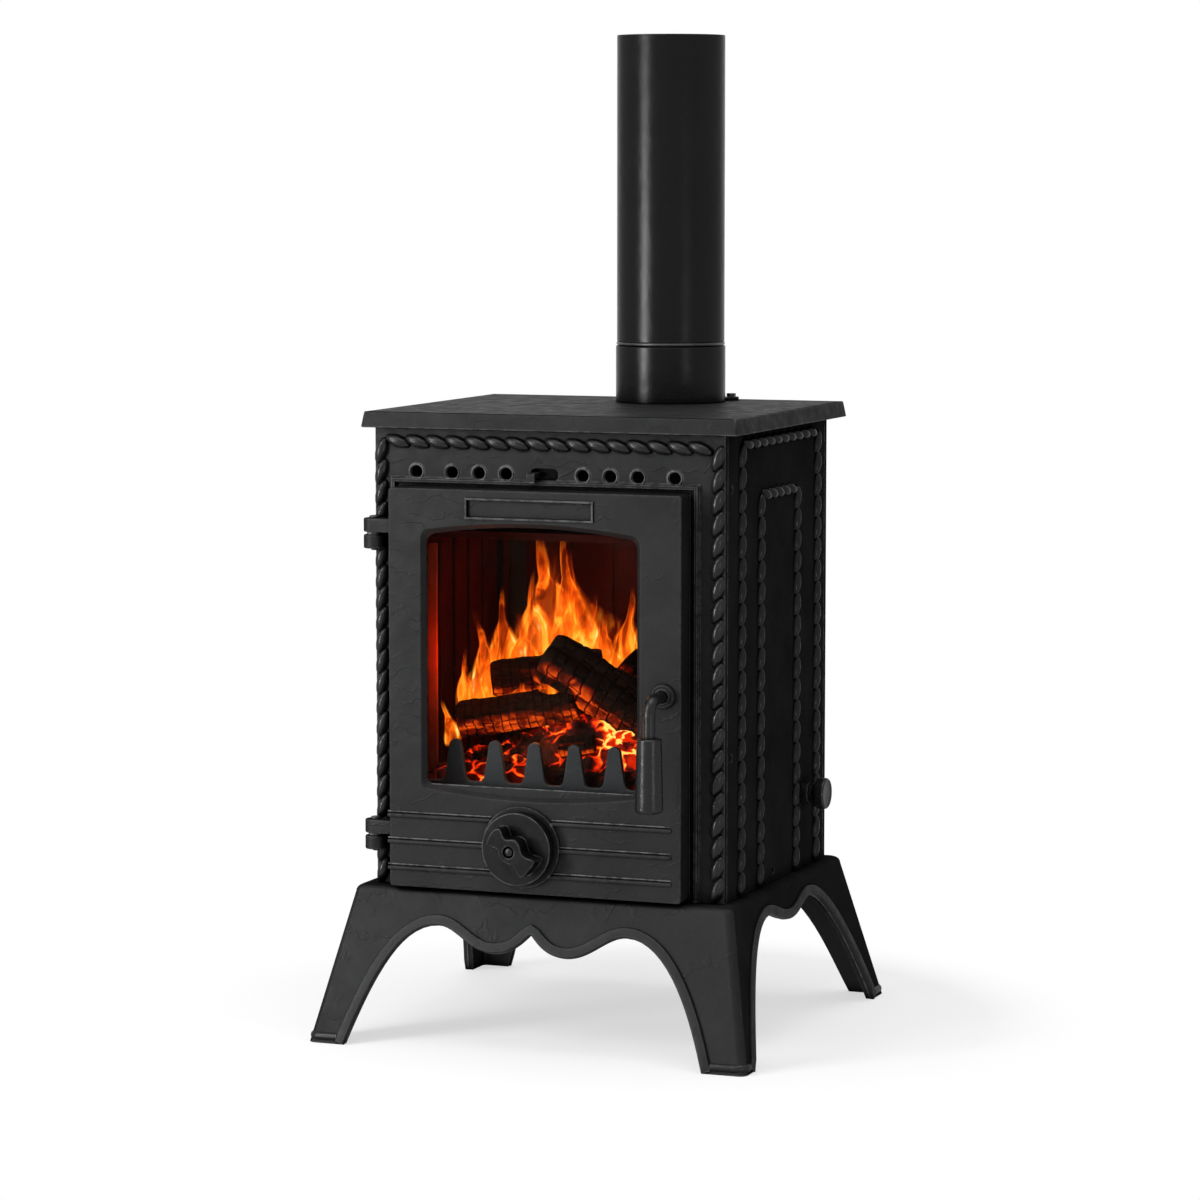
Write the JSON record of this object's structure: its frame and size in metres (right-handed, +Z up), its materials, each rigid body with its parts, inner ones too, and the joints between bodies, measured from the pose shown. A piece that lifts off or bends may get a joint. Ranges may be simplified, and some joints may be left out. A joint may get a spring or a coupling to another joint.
{
  "type": "wood stove",
  "caption": "Freestanding cast iron wood stove on a splayed scalloped leg frame, with rope mouldings, a glazed hinged door, an air spinner and a round top flue pipe.",
  "frame": {"origin": "floor level, under the middle of the whole stove's box", "axes": "+Z up, the door faces -Y, +X to the right as seen from the front"},
  "size_m": [0.525, 0.5218, 1.1294],
  "materials": {
    "cast_black": "matte black stove paint over a fine cast skin",
    "flue_black": "satin black stove enamel on rolled steel",
    "steel_dark": "blackened steel fasteners",
    "pan_steel": "black sheet steel",
    "cast_fire": "bare cast iron browned by heat",
    "seal_rope": "woven glass rope",
    "stove_glass": "clear ceramic stove glass",
    "charred_wood": "split firewood charred by the fire",
    "ember_ash": "glowing embers and ash"
  },
  "bodies": {
    "stove": {"leg_frame": "cast_black", "base_plate": "cast_black", "front_plate": "cast_black", "left_side_plate": "cast_black", "right_side_plate": "cast_black", "back_plate": "cast_black", "top_plate": "cast_black", "flue_collar": "flue_black", "flue_pipe": "flue_black", "collar_bolt_right": "steel_dark", "collar_bolt_left": "steel_dark", "tie_rod_front_left": "steel_dark", "tie_rod_front_right": "steel_dark", "tie_rod_rear_left": "steel_dark", "tie_rod_rear_right": "steel_dark", "hinge_pin_upper": "steel_dark", "hinge_washer_upper": "steel_dark", "hinge_pin_lower": "steel_dark", "hinge_washer_lower": "steel_dark", "door_keeper": "steel_dark", "slider_rail_upper": "steel_dark", "slider_rail_lower": "steel_dark", "hearth_plate": "cast_fire", "rod_bush": "cast_black", "ash_pan": "pan_steel", "left_liner": "cast_fire", "right_liner": "cast_fire", "rear_liner": "cast_fire", "baffle_plate": "cast_fire", "log_retainer": "cast_fire", "log_large": "charred_wood", "log_lower": "charred_wood", "log_middle": "charred_wood", "log_rear": "charred_wood", "log_stub": "charred_wood", "ember_heap": "ember_ash"},
    "door": {"door": "cast_black", "door_seal": "seal_rope", "door_glass": "stove_glass", "glass_clip_upper": "steel_dark", "glass_clip_lower": "steel_dark", "clip_screw_lower_left": "steel_dark", "clip_screw_lower_right": "steel_dark", "clip_screw_upper_left": "steel_dark", "clip_screw_upper_right": "steel_dark", "handle_escutcheon": "cast_black", "spinner_stud": "steel_dark", "spinner_nut": "steel_dark"},
    "handle": {"door_handle": "cast_black", "handle_grip": "cast_black", "latch_tongue": "steel_dark", "latch_nut": "steel_dark"},
    "spinner_ring": {"spinner_washer": "steel_dark"},
    "spinner": {"air_spinner": "cast_black"},
    "air_slider": {"air_slider": "cast_black"},
    "riddling": {"riddling_grate": "cast_fire", "riddling_rod": "steel_dark", "riddling_nut": "steel_dark", "riddling_knob": "cast_black"},
    "lid": {"hob_lid": "cast_black"}
  },
  "joints": [
    {"name": "door_hinge", "type": "hinge", "parent": "stove", "child": "door", "pos_m": [-0.203, -0.1825, 0.4], "axis": [0, 0, -1], "range_deg": [0, 115]},
    {"name": "handle_turn", "type": "hinge", "parent": "door", "child": "handle", "pos_m": [0.1485, -0.1925, 0.4044], "axis": [0, 1, 0], "range_deg": [0, 60]},
    {"name": "spinner_travel", "type": "slide", "parent": "door", "child": "spinner_ring", "axis": [0, 1, 0], "range_m": [-0.003, 0.006]},
    {"name": "spinner_turn", "type": "hinge", "parent": "spinner_ring", "child": "spinner", "pos_m": [-0.0185, -0.2185, 0.2285], "axis": [0, 1, 0], "range_deg": [-360, 720]},
    {"name": "air_slide", "type": "slide", "parent": "stove", "child": "air_slider", "axis": [1, 0, 0], "range_m": [0, 0.018]},
    {"name": "riddling_pull", "type": "slide", "parent": "stove", "child": "riddling", "axis": [1, 0, 0], "range_m": [0, 0.025]},
    {"name": "lid_lift", "type": "slide", "parent": "stove", "child": "lid", "axis": [0, 0, 1], "range_m": [0, 0.08]}
  ],
  "couplings": [
    {"joint": "spinner_travel", "follows": "spinner_turn", "m_per_rad": 0.000477}
  ]
}
